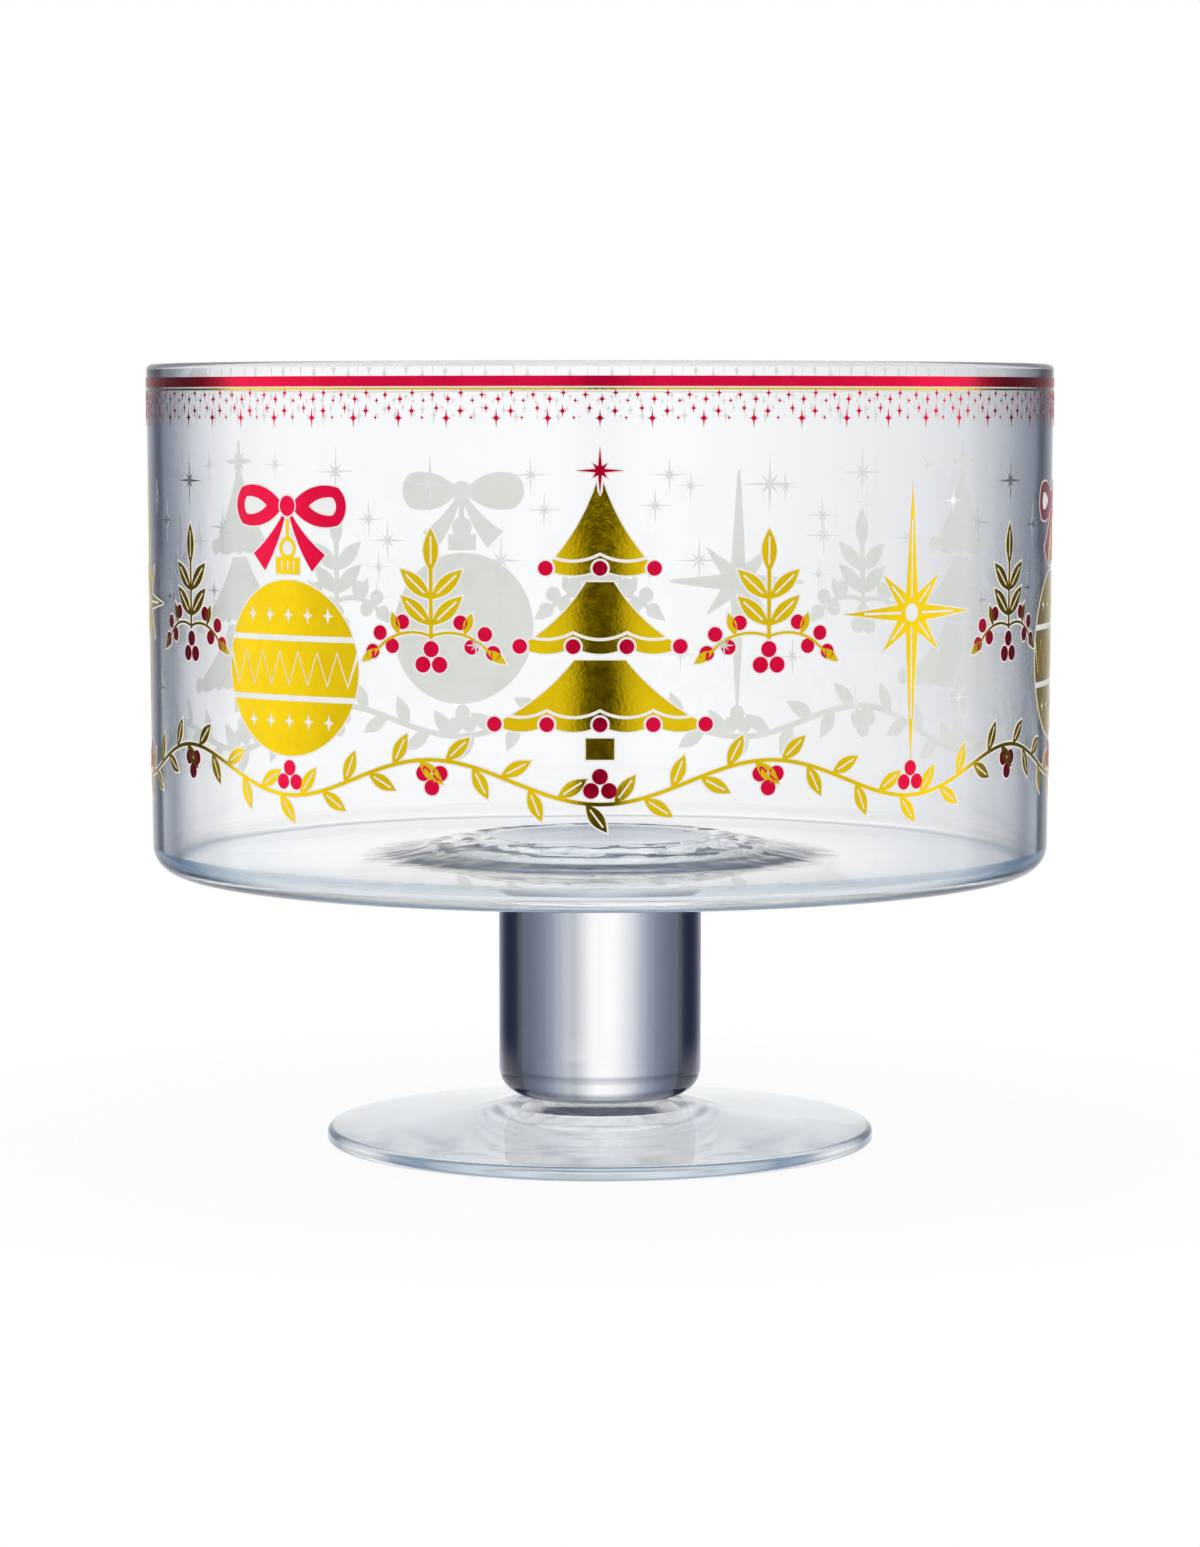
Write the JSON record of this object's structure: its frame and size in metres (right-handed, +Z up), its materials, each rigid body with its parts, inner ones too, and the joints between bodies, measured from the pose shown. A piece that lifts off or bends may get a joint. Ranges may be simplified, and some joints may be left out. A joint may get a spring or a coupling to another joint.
{
  "type": "footed trifle bowl",
  "caption": "Straight-sided clear glass dessert bowl on a thick solid stem and round foot, with a red rim band and a fired festive print in gold, red and silver foil.",
  "frame": {"origin": "middle of the foot's underside, on the table", "axes": "+Z up along the bowl's axis, -Y towards the front of the print, where a fir tree stands"},
  "size_m": [0.2102, 0.2102, 0.181],
  "materials": {
    "clear_glass": "clear, fire-polished",
    "red_foil": "bright red metallic print",
    "gold_foil": "bright gold foil print",
    "silver_foil": "silver foil print"
  },
  "bodies": {
    "root": {"bowl": "clear_glass", "stem": "clear_glass", "foot": "clear_glass", "rim_band": "red_foil", "rim_line": "gold_foil", "star_frieze": "red_foil", "fir_trees": "gold_foil", "baubles": "gold_foil", "bauble_bows": "red_foil", "festive_stars": "gold_foil", "sprig_leaves": "gold_foil", "berries": "red_foil", "sparkles": "silver_foil"}
  },
  "joints": []
}
